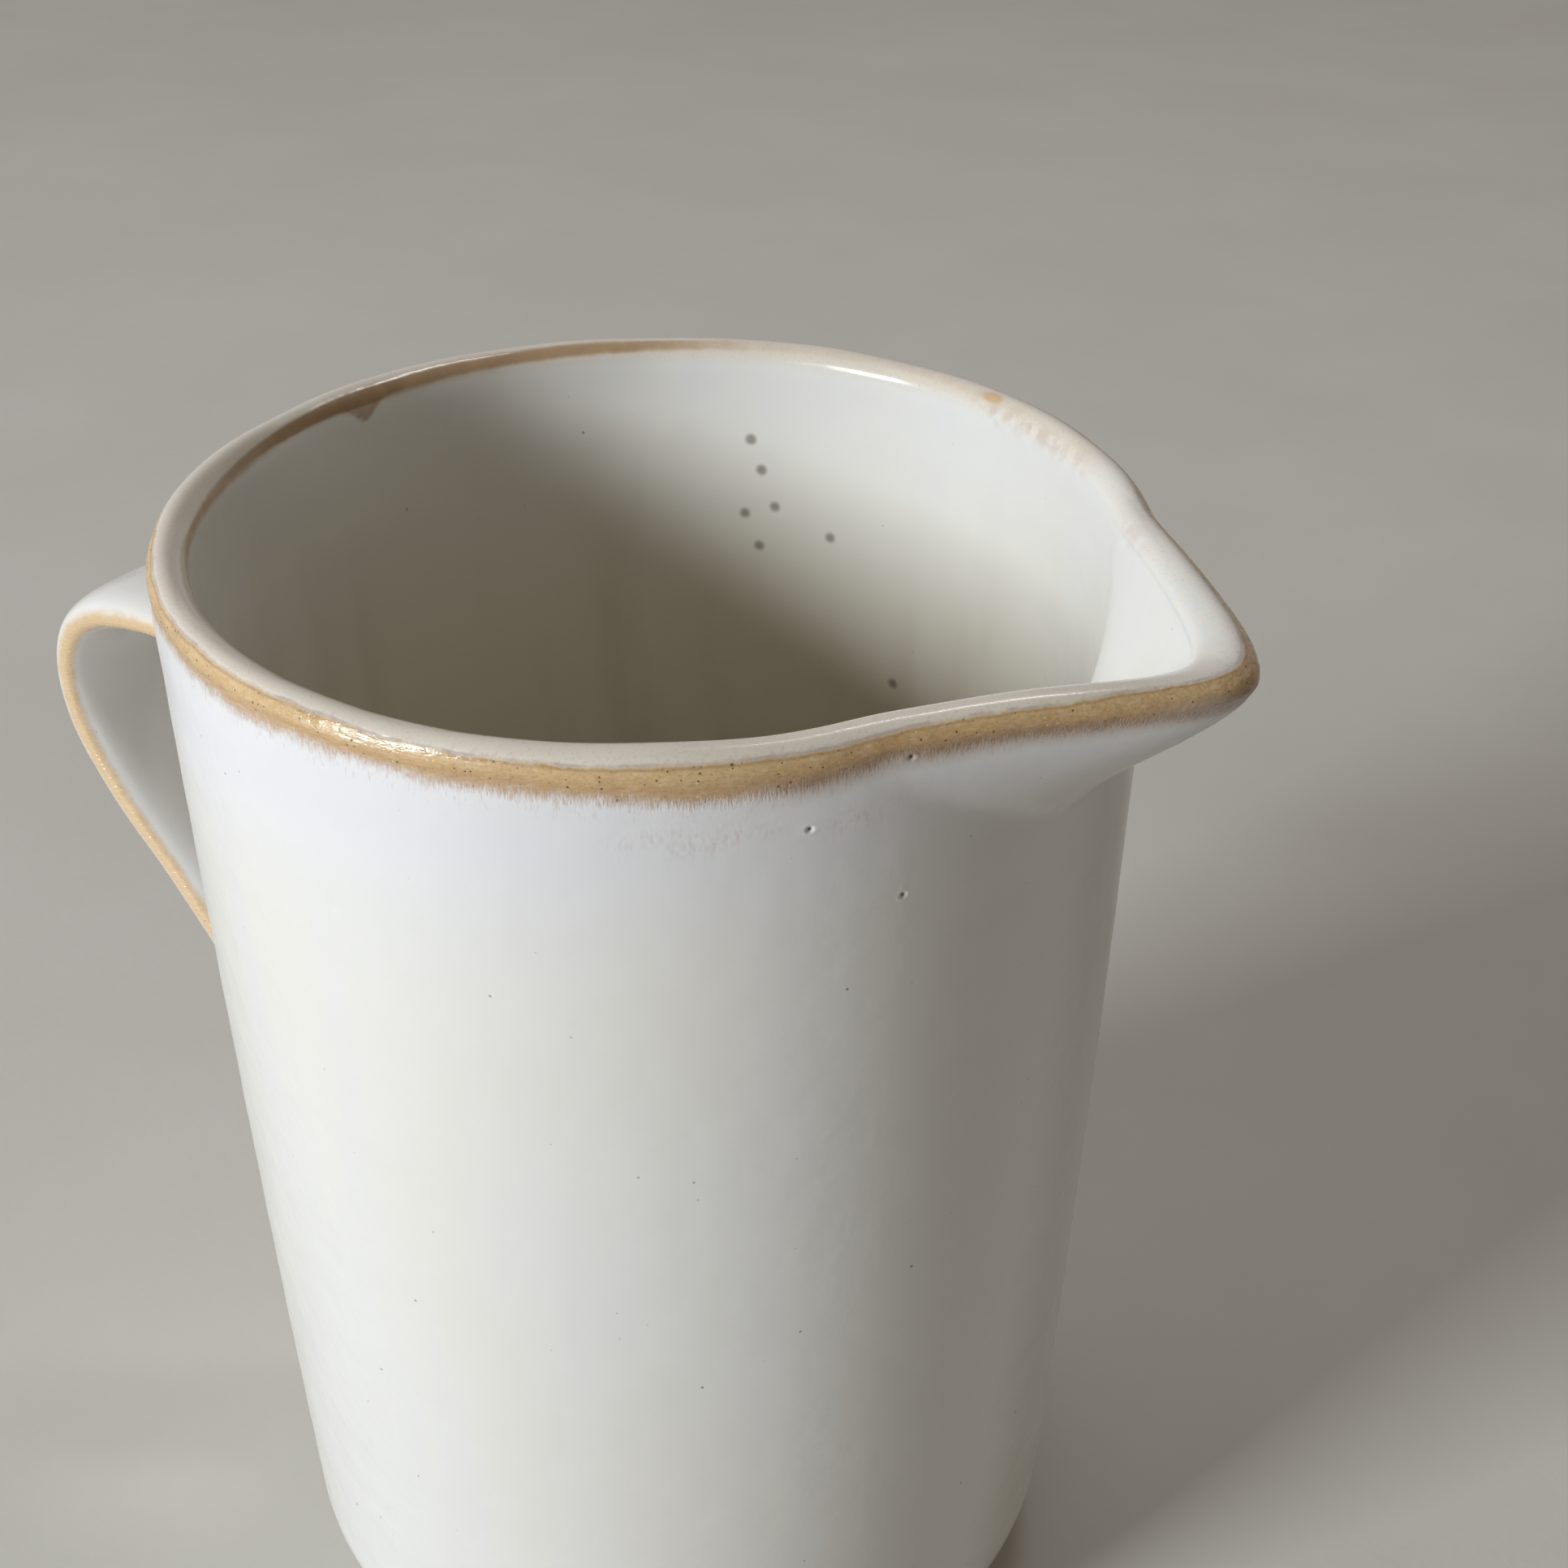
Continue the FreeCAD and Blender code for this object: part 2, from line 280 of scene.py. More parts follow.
def between(angle, first, last, soft):
    """1 between two directions and 0 beyond, with soft ends, in degrees counted on from the first."""
    past = (np.degrees(angle) - first + soft) % 360.0
    return smooth_step(past / soft) * smooth_step((last - first + 2.0 * soft - past) / soft)


def around(angle, directions, values):
    """Values given at some directions, joined by straight slopes all the way round."""
    return np.interp(np.degrees(angle), directions, values, period=360.0)


def band_top(angle):
    """Where the tan band starts, in millimetres along the profile from the lip's crest."""
    return around(angle, DIRECTIONS, BAND_TOP) + 0.10 * np.sin(9 * angle + 0.4) + 0.06 * np.sin(17 * angle)


def band_low(angle):
    """Where the tan band ends."""
    wander = 0.16 * np.sin(7 * angle + 1.0) + 0.12 * np.sin(13 * angle) + 0.10 * np.sin(29 * angle + 2.0)
    return around(angle, DIRECTIONS, BAND_LOW) + wander


def band_share(angle, drop):
    """How far a point belongs to the tan band, with plain soft edges."""
    inside = smooth_step((drop - band_top(angle)) / BAND_TOP_SOFTNESS + 0.5)
    return inside * smooth_step((band_low(angle) - drop) / BAND_LOW_SOFTNESS + 0.5)


def pinhole_dent(points, drop):
    """Depth of the pinholes at each point, in millimetres, with a low raised edge round each."""
    dent = np.zeros(drop.shape)
    for degrees, z, radius, depth in PINHOLES:
        centre = wall_points(np.array([math.radians(degrees)]), z, 0.0)[0]
        share = np.linalg.norm(points - centre, axis=-1) / radius
        dent += depth * (1.0 - smooth_step(share)) - 0.12 * depth * np.exp(-((share - 1.25) / 0.3) ** 2)
    return np.where(drop > 0.0, dent, 0.0)


def marched(start, end, step_at):
    """Values from start to end, in steps that step_at picks along the way."""
    values = [start]
    while values[-1] < end:
        values.append(values[-1] + step_at(values[-1]))
    values = np.array(values)
    return start + (values - start) * (end - start) / (values[-1] - start)


def row_step(z):
    """Distance between two rows of the outside near a height."""
    step = 2.4 if z < 112.0 else 0.9 if z < 128.0 else 0.42
    for _, height, radius, _ in PINHOLES:
        if abs(z - height) < radius * 1.7:
            step = min(step, radius * 0.33)
    return step


def column_step(degrees):
    """Angle between two columns near a direction, in degrees."""
    step = 0.5 if abs(degrees) < 22.0 else 0.8
    for direction, _, radius, _ in PINHOLES:
        if abs(degrees - direction) < radius * 1.9:
            step = min(step, radius * 0.36)
    return step


def grid_rows():
    """Places of all rows, from the glaze line over the lip to the middle of the floor."""
    def at(heights):
        return [wall_place(z) for z in heights]
    top = HEIGHT - LIP_THICKNESS / 2
    outside = at(marched(FOOT_HEIGHT + CORNER_RADIUS, HEIGHT - RIM_BAND_DEPTH, row_step))
    band = at(marched(HEIGHT - RIM_BAND_DEPTH, top, row_step))
    inside = at(marched(FOOT_HEIGHT + CORNER_RADIUS, top, lambda z: 2.4 if z < 116.0 else 0.6))
    parts = (
        np.linspace(GLAZE_START, CORNER_TOP, CORNER_ROWS),
        outside,
        band,
        np.linspace(LIP_OUTSIDE, LIP_INSIDE, LIP_ROWS),
        [FLOOR_EDGE - place for place in reversed(inside)],
        np.linspace(INNER_CORNER, FLOOR_EDGE, CORNER_ROWS),
        np.linspace(FLOOR_EDGE, FLOOR_LAST, CORNER_ROWS),
    )
    return np.unique(np.round(np.concatenate(parts), 9))


def make_mesh(name, vertices, faces, normals, values):
    """A smooth mesh object in metres, with its own normals and one float attribute per entry of values."""
    mesh = bpy.data.meshes.new(name)
    mesh.from_pydata((np.asarray(vertices) * MM).tolist(), [], [list(face) for face in faces])
    mesh.shade_smooth()
    own = np.zeros(len(mesh.vertices) * 3)
    mesh.vertices.foreach_get("normal", own)
    own = own.reshape(-1, 3)
    known = ~np.isnan(normals[:, 0])
    own[known] = normals[known]
    mesh.normals_split_custom_set_from_vertices(own.tolist())
    for key, numbers in values.items():
        attribute = mesh.attributes.new(key, "FLOAT", "POINT")
        attribute.data.foreach_set("value", np.asarray(numbers, dtype=np.float32))
    piece = bpy.data.objects.new(name, mesh)
    bpy.context.scene.collection.objects.link(piece)
    return piece


def ring_quads(first_ring, second_ring, columns):
    """Quads between two rings, given by the number of each ring's first vertex."""
    quads = []
    for column in range(columns):
        after = (column + 1) % columns
        quads.append((first_ring + column, first_ring + after, second_ring + after, second_ring + column))
    return quads


def strips(rows, columns, first=0):
    """Quads of a grid that is closed along its columns; rows run outward-facing upwards."""
    quads = []
    for row in range(rows - 1):
        ring = first + row * columns
        quads += ring_quads(ring, ring + columns, columns)
    return quads


def surface_values(angle, drop):
    """The float attributes that the glaze materials read."""
    front = np.where(drop > 0.0, 1.0, 0.0)
    strength = around(angle, INNER_DIRECTIONS, INNER_STRENGTH)
    top = around(angle, INNER_DIRECTIONS, INNER_TOP)
    drip_at, drip_width, drip_length = DRIP
    low = around(angle, INNER_DIRECTIONS, INNER_LOW) + drip_length * bell(angle, drip_at, drip_width)
    inner_mask = smooth_step((-drop - top) / 0.8 + 0.5) * smooth_step((low + drop) / 1.2 + 0.5)
    rose = between(angle, 52, 72, 6) + 0.6 * bell(angle, 27, 5)
    return {
        "under_top": drop - band_top(angle),
        "over_low": band_low(angle) - drop,
        "drop": drop,
        "inner_band": inner_mask * strength,
        "inner_strength": strength,
        "rose": rose * np.exp(-((drop + 2.6) / 1.3) ** 2),
        # how strong the painted shade is beside the spout, on the tan band and below it
        "dark": between(angle, -38, -7, 9) + 0.7 * between(angle, 8, 34, 9),
        "tip": bell(angle, 0, 6.5),
        "lip_warmth": 0.9 - 0.5 * between(angle, 2, 42, 12),
        # painted reflection: a bluish tint on the inner lip beside the spout
        "painted_blue_reflection": bell(angle, 8, 8) * np.exp(-((drop + 2.0) / 1.8) ** 2),
        "orange": bell(angle, 73, 2.0) * np.exp(-((drop + 1.0) / 0.9) ** 2),
        "blush": between(angle, -53, -36, 9) * np.exp(-((drop - 9.4) / 1.5) ** 2) * front,
        "cool": np.exp(-((drop - 10.0) / 9.0) ** 2) * front,
    }


def fan(ring, hub, columns, downward):
    """Triangles from a ring to the vertex in its middle."""
    triangles = []
    for column in range(columns):
        pair = (ring + column, ring + (column + 1) % columns)
        triangles.append((pair[1], pair[0], hub) if downward else (pair[0], pair[1], hub))
    return triangles


def edge_rows(angle, place):
    """Rings that round the coat's lower edge, from its hidden back to its face."""
    turns = [math.radians(degrees) for degrees in (22, 45, 68)]
    return [
        path_points(angle, place - EDGE_ROLL * math.sin(turn), COAT_BACK * math.cos(turn) ** 2)
        for turn in turns
    ]


def closed_band(grid, keep, back_rows):
    """Vertices, faces, normals and lip distances of a coat that is a closed band round the vessel."""
    angle, places, points, normals, drop = grid
    columns = len(angle)
    returning = [keep[-1]] + back_rows[-2::-1]
    rounded = edge_rows(angle, places[keep[0]]) if places[keep[0]] <= GLAZE_START + SAME_PLACE else []
    layers = [points[row] for row in keep]
    layers += [path_points(angle, places[row], COAT_BACK) for row in returning]
    layers += rounded
    drops = [drop[row] for row in keep] + [drop[row] for row in returning] + [drop[keep[0]]] * len(rounded)
    unknown = np.full((columns, 3), np.nan)
    facing = [normals[row] for row in keep] + [unknown] * (len(layers) - len(keep))
    faces = strips(len(layers), columns) + ring_quads((len(layers) - 1) * columns, 0, columns)
    return np.concatenate(layers), faces, np.concatenate(facing), np.concatenate(drops)


def closed_bowl(grid, keep, back_rows):
    """The same for a coat that runs on to the middle of the floor."""
    angle, places, points, normals, drop = grid
    columns = len(angle)
    backs = [path_points(angle, places[row], COAT_BACK) for row in back_rows]
    back_start = len(keep) * columns
    faces = strips(len(keep), columns)
    faces += [tuple(reversed(face)) for face in strips(len(backs), columns, back_start)]
    faces += ring_quads(back_start, 0, columns)
    vertices = np.concatenate([points[row] for row in keep] + backs)
    drops = np.concatenate([drop[row] for row in keep] + [drop[row] for row in back_rows])
    unknown = np.full((columns, 3), np.nan)
    facing = np.concatenate([normals[row] for row in keep] + [unknown] * len(backs))
    last_face_ring = back_start - columns
    last_back_ring = back_start + (len(backs) - 1) * columns
    for ring, downward in ((last_face_ring, False), (last_back_ring, True)):
        faces += fan(ring, len(vertices), columns, downward)
        vertices = np.vstack([vertices, vertices[ring:ring + columns].mean(axis=0)])
        drops = np.append(drops, drops[ring])
        facing = np.vstack([facing, [np.nan] * 3 if downward else [0.0, 0.0, 1.0]])
    return vertices, faces, facing, drops


def coat_piece(name, node, slot, material, grid, start, end):
    """One coat between two places on the path: its face, its hidden back and the edges between them."""
    places = grid[1]
    keep = np.flatnonzero((places > start - SAME_PLACE) & (places < end + SAME_PLACE))
    back_rows = sorted(set(keep[::BACK_ROW_EVERY]) | {keep[-1]})
    closed = closed_bowl if end >= FLOOR_CENTRE else closed_band
    vertices, faces, facing, drops = closed(grid, keep, back_rows)
    angles = np.arctan2(vertices[:, 1], vertices[:, 0])
    piece = make_mesh(name, vertices, faces, facing, surface_values(angles, drops))
    return dress(piece, material, slot, node)


def dress(piece, material, slot, *nodes):
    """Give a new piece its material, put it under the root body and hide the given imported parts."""
    piece.data.materials.append(material)
    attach(piece, "root")
    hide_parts(*nodes)
    return piece


def vessel_grid():
    """Angles, places, displaced points, normals and lip distances of the whole glazed surface."""
    angle = np.radians(marched(-180.0, 180.0, column_step)[:-1])
    places = grid_rows()
    base = np.array([path_points(angle, place, 0.0) for place in places])
    drop = lip_distance(base, places)
    normals = grid_normals(base)
    radius = np.hypot(base[..., 0], base[..., 1])
    bumps = relief(angle[None, :], base[..., 2], drop) * np.minimum(radius / STILL_RADIUS, 1.0)
    front = np.where(drop > 0.0, 1.0, 0.0)
    bumps -= front * BAND_SINK * band_share(angle[None, :], drop)
    bumps -= LIP_SINK * np.exp(-((drop - LIP_SINK_PLACE) / LIP_SINK_LENGTH) ** 2)
    swell, direction, width = RIDGE_SWELL
    ridge = RIDGE_HEIGHT + swell * bell(angle, direction, width)[None, :]
    below_top = drop - band_top(angle)[None, :]
    bumps += front * ridge * np.exp(-((below_top - RIDGE_PLACE) / RIDGE_LENGTH) ** 2)
    bumps = np.maximum(bumps, -DEEPEST_DENT) - pinhole_dent(base, drop)
    points = base + normals * bumps[..., None]
    return angle, places, points, grid_normals(points), drop


def spline(knots, values, at):
    """Natural cubic curve through the values at the knots."""
    gaps = np.diff(knots)
    slopes = np.diff(values, axis=0) / gaps[:, None]
    system = np.eye(len(knots))
    right = np.zeros(values.shape)
    for row in range(1, len(knots) - 1):
        system[row, row - 1:row + 2] = gaps[row - 1], 2.0 * (gaps[row - 1] + gaps[row]), gaps[row]
        right[row] = 6.0 * (slopes[row] - slopes[row - 1])
    bend = np.linalg.solve(system, right)
    piece = np.clip(np.searchsorted(knots, at) - 1, 0, len(gaps) - 1)
    gap = gaps[piece][:, None]
    before = (at - knots[piece])[:, None]
    after = gap - before
    cubic = (bend[piece] * after ** 3 + bend[piece + 1] * before ** 3) / (6.0 * gap)
    cubic += (values[piece] / gap - bend[piece] * gap / 6.0) * after
    return cubic + (values[piece + 1] / gap - bend[piece + 1] * gap / 6.0) * before


def handle_centre():
    """Fine points of the handle's centre line, carried on straight into the wall, and their lengths."""
    corners = np.array(HANDLE_LINE)
    knots = np.concatenate([[0.0], np.cumsum(np.linalg.norm(np.diff(corners, axis=0), axis=1))])
    fine = spline(knots, corners, np.linspace(0.0, knots[-1], CURVE_SAMPLES))
    first = fine[0] - fine[1]
    last = fine[-1] - fine[-2]
    further = np.linspace(HANDLE_OVERRUN / OVERRUN_SAMPLES, HANDLE_OVERRUN, OVERRUN_SAMPLES)[:, None]
    before = fine[0] + first / np.linalg.norm(first) * further[::-1]
    after = fine[-1] + last / np.linalg.norm(last) * further
    fine = np.concatenate([before, fine, after])
    length = np.concatenate([[0.0], np.cumsum(np.linalg.norm(np.diff(fine, axis=0), axis=1))])
    return fine, length - HANDLE_OVERRUN


def strap_rows():
    """Centre, direction, half width and half depth of the glazed strap, row by row."""
    fine, length = handle_centre()
    lengths = np.linspace(length[0], length[-1], round((length[-1] - length[0]) / HANDLE_ROW_GAP))
    centre = np.stack([np.interp(lengths, length, fine[:, axis]) for axis in (0, 1)], axis=-1)
    along = np.gradient(fine, axis=0)
    along = np.stack([np.interp(lengths, length, along[:, axis]) for axis in (0, 1)], axis=-1)
    along /= np.linalg.norm(along, axis=1, keepdims=True)
    to_end = np.minimum(lengths, length[-1] - HANDLE_OVERRUN - lengths) - WALL_ENTRY
    flare = 1.0 - smooth_step(to_end / STRAP_FLARE_LENGTH)
    swell = 0.05 * np.sin(lengths * 0.21 + 0.8) + 0.03 * np.sin(lengths * 0.47)
    width = STRAP_WIDTH + (STRAP_END_WIDTH - STRAP_WIDTH) * flare
    thickness = STRAP_THICKNESS + (STRAP_END_THICKNESS - STRAP_THICKNESS) * flare
    return centre, along, width / 2.0 + STRAP_SKIN + swell, thickness / 2.0 + STRAP_SKIN + swell


def strap_rings():
    """Rings of the glazed strap, flared at both ends, and how far each point lies on its orange edges."""
    centre, along, half_width, half_depth = strap_rows()
    turn = 2.0 * math.pi * np.arange(HANDLE_RING) / HANDLE_RING
    power = 2.0 / STRAP_SQUARENESS
    wide = np.sign(np.cos(turn)) * np.abs(np.cos(turn)) ** power
    deep = np.sign(np.sin(turn)) * np.abs(np.sin(turn)) ** power
    hollow = STRAP_HOLLOW * np.exp(-(wide / 0.5) ** 2) * np.sign(deep) * smooth_step(np.abs(deep) * 3.0)
    across = half_width[:, None] * wide[None, :]
    reach = half_depth[:, None] * deep[None, :] - hollow[None, :]

    # Near the wall the outline spreads, so that the joint ends in a fillet
    away = np.hypot(centre[:, None, 0] - along[:, None, 1] * reach, across)
    height = centre[:, None, 1] + along[:, None, 0] * reach
    gap = np.clip((away - wall_radius(height)) / FILLET_REACH, 0.0, 1.0)
    spread = 1.0 + FILLET_SPREAD * (1.0 - gap) ** 3 / np.hypot(across, reach)
    across = across * spread
    reach = reach * spread
    x = centre[:, None, 0] - along[:, None, 1] * reach
    z = centre[:, None, 1] + along[:, None, 0] * reach
    edge = smooth_step((np.abs(wide) - EDGE_START) / EDGE_RISE) * np.exp(-((deep - 0.2) / 0.6) ** 2)
    return np.stack([x, across, z], axis=-1), edge[None, :] * smooth_step((gap - 0.1) / 0.7)


def ended_on_wall(rings):
    """The rings with all that lies in the wall drawn back to under its glaze, and which rows they are."""
    radius = np.hypot(rings[..., 0], rings[..., 1])
    floor = wall_radius(rings[..., 2]) - JOINT_SINK
    inside = (radius < floor).all(axis=1)
    middle = len(rings) // 2
    start = middle - np.argmax(inside[:middle][::-1]) - 1
    end = middle + np.argmax(inside[middle:])
    drawn = rings.copy()
    drawn[..., :2] *= np.maximum(floor / radius, 1.0)[..., None]
    return drawn[start:end + 1], slice(start, end + 1)


def handle_piece(material):
    """The glazed outside of the handle, as one closed surface that ends just inside the wall."""
    rings, edge = strap_rings()
    rings, kept = ended_on_wall(rings)
    count = len(rings)
    normals = grid_normals(rings)
    vertices = rings.reshape(-1, 3)
    faces = strips(count, HANDLE_RING)
    for row in (0, count - 1):
        faces += fan(row * HANDLE_RING, len(vertices), HANDLE_RING, row == 0)
        vertices = np.vstack([vertices, rings[row].mean(axis=0)])
    facing = np.vstack([normals.reshape(-1, 3), np.full((2, 3), np.nan)])
    middle = rings[count // 2]
    if (normals[count // 2] * (middle - middle.mean(axis=0))).sum() < 0:
        faces = [tuple(reversed(face)) for face in faces]
        facing = -facing
    values = {"edge": np.append(edge[kept].ravel(), [0.0, 0.0])}
    piece = make_mesh("handle_glaze_coat", vertices, faces, facing, values)
    return dress(piece, material, "white_glaze", "handle_glaze")


class Tree:
    """Short calls that build one material's nodes round a Principled shader."""

    def __init__(self, name):
        self.material = bpy.data.materials.new(name)
        self.material.use_nodes = True
        self.nodes = self.material.node_tree.nodes
        self.links = self.material.node_tree.links
        self.nodes.clear()
        self.shader = self.nodes.new("ShaderNodeBsdfPrincipled")
        output = self.nodes.new("ShaderNodeOutputMaterial")
        self.links.new(self.shader.outputs[0], output.inputs["Surface"])
        coordinates = self.nodes.new("ShaderNodeTexCoord")
        self.millimetres = self.vector("SCALE", coordinates.outputs["Object"], scale=1000.0)

    def put(self, socket, value):
        """Link or set one input."""
        if isinstance(value, bpy.types.NodeSocket):
            self.links.new(value, socket)
        else:
            socket.default_value = value

    def vector(self, operation, first, second=None, scale=None):
        """The result of one vector operation."""
        node = self.nodes.new("ShaderNodeVectorMath")
        node.operation = operation
        self.put(node.inputs[0], first)
        if second is not None:
            self.put(node.inputs[1], second)
        if scale is not None:
            self.put(node.inputs["Scale"], scale)
        return node.outputs["Value" if operation == "DISTANCE" else "Vector"]

    def math(self, operation, *values):
        """The result of one operation on numbers."""
        node = self.nodes.new("ShaderNodeMath")
        node.operation = operation
        for socket, value in zip(node.inputs, values):
            self.put(socket, value)
        return node.outputs[0]

    def step(self, value, low, high):
        """Smooth rise from 0 at low to 1 at high, or a fall when low is above high."""
        node = self.nodes.new("ShaderNodeMapRange")
        node.interpolation_type = "SMOOTHSTEP"
        self.put(node.inputs["Value"], value)
        falling = low > high
        self.put(node.inputs["From Min"], min(low, high))
        self.put(node.inputs["From Max"], max(low, high))
        self.put(node.inputs["To Min"], 1.0 if falling else 0.0)
        self.put(node.inputs["To Max"], 0.0 if falling else 1.0)
        return node.outputs["Result"]

    def scaled(self, value, low, high):
        """Stretch 0 to 1 onto low to high."""
        return self.math("MULTIPLY_ADD", value, high - low, low)

    def mix(self, share, first, second):
        """The first colour where share is 0, and the second where it is 1."""
        node = self.nodes.new("ShaderNodeMix")
        node.data_type = "RGBA"
        self.put(node.inputs[0], share)
        self.put(node.inputs[6], first)
        self.put(node.inputs[7], second)
        return node.outputs[2]

    def lay(self, below, colour, share, strength):
        """Lay a colour over another one, where share is high and as strongly as strength says."""
        return self.mix(self.math("MULTIPLY", share, strength), below, colour)

    def value(self, name):
        """A float attribute of the mesh."""
        node = self.nodes.new("ShaderNodeAttribute")
        node.attribute_name = name
        return node.outputs["Fac"]

    def noise(self, size, detail=2.0, stretch=1.0, roughness=0.5):
        """Noise from 0 to 1 with features about size millimetres, stretched upwards."""
        place = self.vector("MULTIPLY", self.millimetres, (1.0 / size, 1.0 / size, 1.0 / (size * stretch)))
        node = self.nodes.new("ShaderNodeTexNoise")
        self.put(node.inputs["Vector"], place)
        self.put(node.inputs["Scale"], 1.0)
        self.put(node.inputs["Detail"], detail)
        self.put(node.inputs["Roughness"], roughness)
        return node.outputs["Fac"]

    def specks(self, cell, radius, share):
        """Small round specks: one in a share of the cells, with a radius as a part of the cell."""
        node = self.nodes.new("ShaderNodeTexVoronoi")
        self.put(node.inputs["Vector"], self.vector("SCALE", self.millimetres, scale=1.0 / cell))
        self.put(node.inputs["Scale"], 1.0)
        chosen = self.nodes.new("ShaderNodeSeparateColor")
        self.put(chosen.inputs[0], node.outputs["Color"])
        size = self.scaled(chosen.outputs[1], 0.4 * radius, radius)
        inside = self.math("SUBTRACT", 1.0, self.math("DIVIDE", node.outputs["Distance"], size))
        dots = self.step(inside, 0.0, 0.5)
        return self.math("MULTIPLY", dots, self.step(chosen.outputs[0], share, share * 0.98))

    def spot(self, centre, radius):
        """A round soft spot at a point given in millimetres."""
        return self.step(self.vector("DISTANCE", self.millimetres, tuple(centre)), radius, radius * 0.3)

    def spots(self, centres, radius):
        """The strongest of several round spots."""
        found = self.spot(centres[0], radius)
        for centre in centres[1:]:
            found = self.math("MAXIMUM", found, self.spot(centre, radius))
        return found

    def bump(self, height, distance, strength=1.0, below=None):
        """A normal tilted by a height from 0 to 1, which stands for distance millimetres."""
        node = self.nodes.new("ShaderNodeBump")
        self.put(node.inputs["Height"], height)
        self.put(node.inputs["Distance"], distance * MM)
        self.put(node.inputs["Strength"], strength)
        if below is not None:
            self.put(node.inputs["Normal"], below)
        return node.outputs["Normal"]

    def finish(self, colour, roughness, normal, **others):
        """Fill in the shader and hand over the material."""
        self.put(self.shader.inputs["Base Color"], colour)
        self.put(self.shader.inputs["Roughness"], roughness)
        self.put(self.shader.inputs["Normal"], normal)
        self.put(self.shader.inputs["Coat Normal"], normal)
        for name, value in others.items():
            self.put(self.shader.inputs[name.replace("_", " ")], value)
        return self.material


def tint(red, green, painted_blue_reflection):
    """An opaque colour."""
    return (red, green, painted_blue_reflection, 1.0)


CREAM = tint(0.80, 0.79, 0.765)
CREAM_WARM = tint(0.79, 0.765, 0.71)
CREAM_COOL = tint(0.77, 0.767, 0.808)
LIP_CREAM = tint(0.76, 0.69, 0.585)
# colour of the painted bluish reflection beside the spout
BLUISH = tint(0.62, 0.73, 0.79)
# the colour of the painted shade deep inside the liner
LINER_SHADE = tint(0.775, 0.73, 0.60)
TAN = tint(0.54, 0.345, 0.165)
TAN_LIGHT = tint(0.66, 0.46, 0.24)
TAN_DARK = tint(0.27, 0.155, 0.075)
ROSE = tint(0.56, 0.41, 0.34)
BORDER = tint(0.42, 0.36, 0.35)
UMBER = tint(0.36, 0.22, 0.115)
SPECK = tint(0.085, 0.05, 0.03)
SPECK_LIGHT = tint(0.82, 0.72, 0.54)
HANDLE_EDGE = tint(0.66, 0.44, 0.22)
CLAY = tint(0.62, 0.48, 0.34)
CLAY_DARK = tint(0.50, 0.37, 0.25)
GROG = tint(0.78, 0.69, 0.56)
FLOOR_PALE = tint(0.67, 0.655, 0.61)
FLOOR_DARK = tint(0.64, 0.62, 0.57)
GLASSY = {"IOR": 1.5, "Coat_Weight": 0.25, "Coat_Roughness": 0.08}


def point_on_wall(degrees, z, depth):
    """A point of the wall at a depth inside the glaze, as a plain tuple."""
    return tuple(float(v) for v in wall_points(np.array([math.radians(degrees)]), z, depth)[0])


def cream_colour(tree):
    """The white glaze: warm and cool clouds, faint drips, and a few iron specks."""
    clouds = tree.noise(34.0, 3.0, 1.6)
    colour = tree.lay(CREAM, CREAM_WARM, tree.step(clouds, 0.35, 0.7), 0.75)
    runs = tree.noise(7.0, 3.0, 9.0)
    colour = tree.lay(colour, CREAM_COOL, tree.step(runs, 0.42, 0.68), 0.28)
    colour = tree.lay(colour, CREAM_COOL, tree.value("cool"), 0.75)
    grain = tree.noise(0.35, 2.0)
    colour = tree.lay(colour, CREAM_WARM, tree.step(grain, 0.3, 0.8), 0.12)
    colour = tree.lay(colour, UMBER, tree.specks(5.0, 0.055, 0.38), 0.8)
    colour = tree.lay(colour, SPECK, tree.specks(3.4, 0.065, 0.12), 0.75)
    return tree.lay(colour, UMBER, tree.specks(2.2, 0.075, 0.22), 0.55)


def add_lip_cream(tree, colour):
    """The warmer, thinner white over the lip's crest, finely freckled towards the tan band."""
    drop = tree.value("drop")
    lip = tree.math("MULTIPLY", tree.step(drop, -4.2, -1.8), tree.step(drop, 3.4, 2.2))
    colour = tree.mix(tree.math("MULTIPLY", lip, tree.value("lip_warmth")), colour, LIP_CREAM)
    freckles = tree.math("MULTIPLY", lip, tree.step(tree.noise(0.30, 3.0, 1.0, 0.7), 0.52, 0.74))
    return tree.lay(colour, ROSE, freckles, 0.42)


def tan_colour(tree, over):
    """The tan glaze: lighter above, browner and rosier below, full of fine dark and light specks."""
    mottle = tree.noise(2.2, 4.0, 1.0, 0.6)
    high = tree.step(tree.math("ADD", over, tree.scaled(mottle, -0.8, 0.8)), 0.9, 2.6)
    tan = tree.mix(high, TAN, TAN_LIGHT)
    grain = tree.step(tree.noise(0.32, 3.0, 1.0, 0.7), 0.48, 0.72)
    tan = tree.lay(tan, TAN_DARK, grain, 0.42)
    lines = tree.step(tree.noise(1.6, 3.0, 0.16), 0.52, 0.70)
    tan = tree.lay(tan, SPECK_LIGHT, lines, 0.22)
    low_edge = tree.step(tree.math("ADD", over, tree.scaled(mottle, -0.9, 0.9)), 1.5, -0.3)
    tan = tree.lay(tan, ROSE, low_edge, 0.40)
    # The band's lower edge turns a little browner all round, which is the glaze's own tone, and much darker
    # beside the spout, which is painted shade.
    shade = tree.math("MULTIPLY", low_edge, tree.scaled(tree.value("dark"), 0.10, 0.85))
    tan = tree.mix(shade, tan, TAN_DARK)
    tan = tree.mix(tree.math("MULTIPLY", tree.value("tip"), tree.step(over, 2.6, 0.8)), tan, BORDER)
    tan = tree.lay(tan, SPECK, tree.specks(0.75, 0.21, 0.75), 0.90)
    tan = tree.lay(tan, SPECK, tree.specks(2.0, 0.12, 0.6), 0.95)
    return tree.lay(tan, SPECK_LIGHT, tree.specks(0.8, 0.22, 0.3), 0.5)


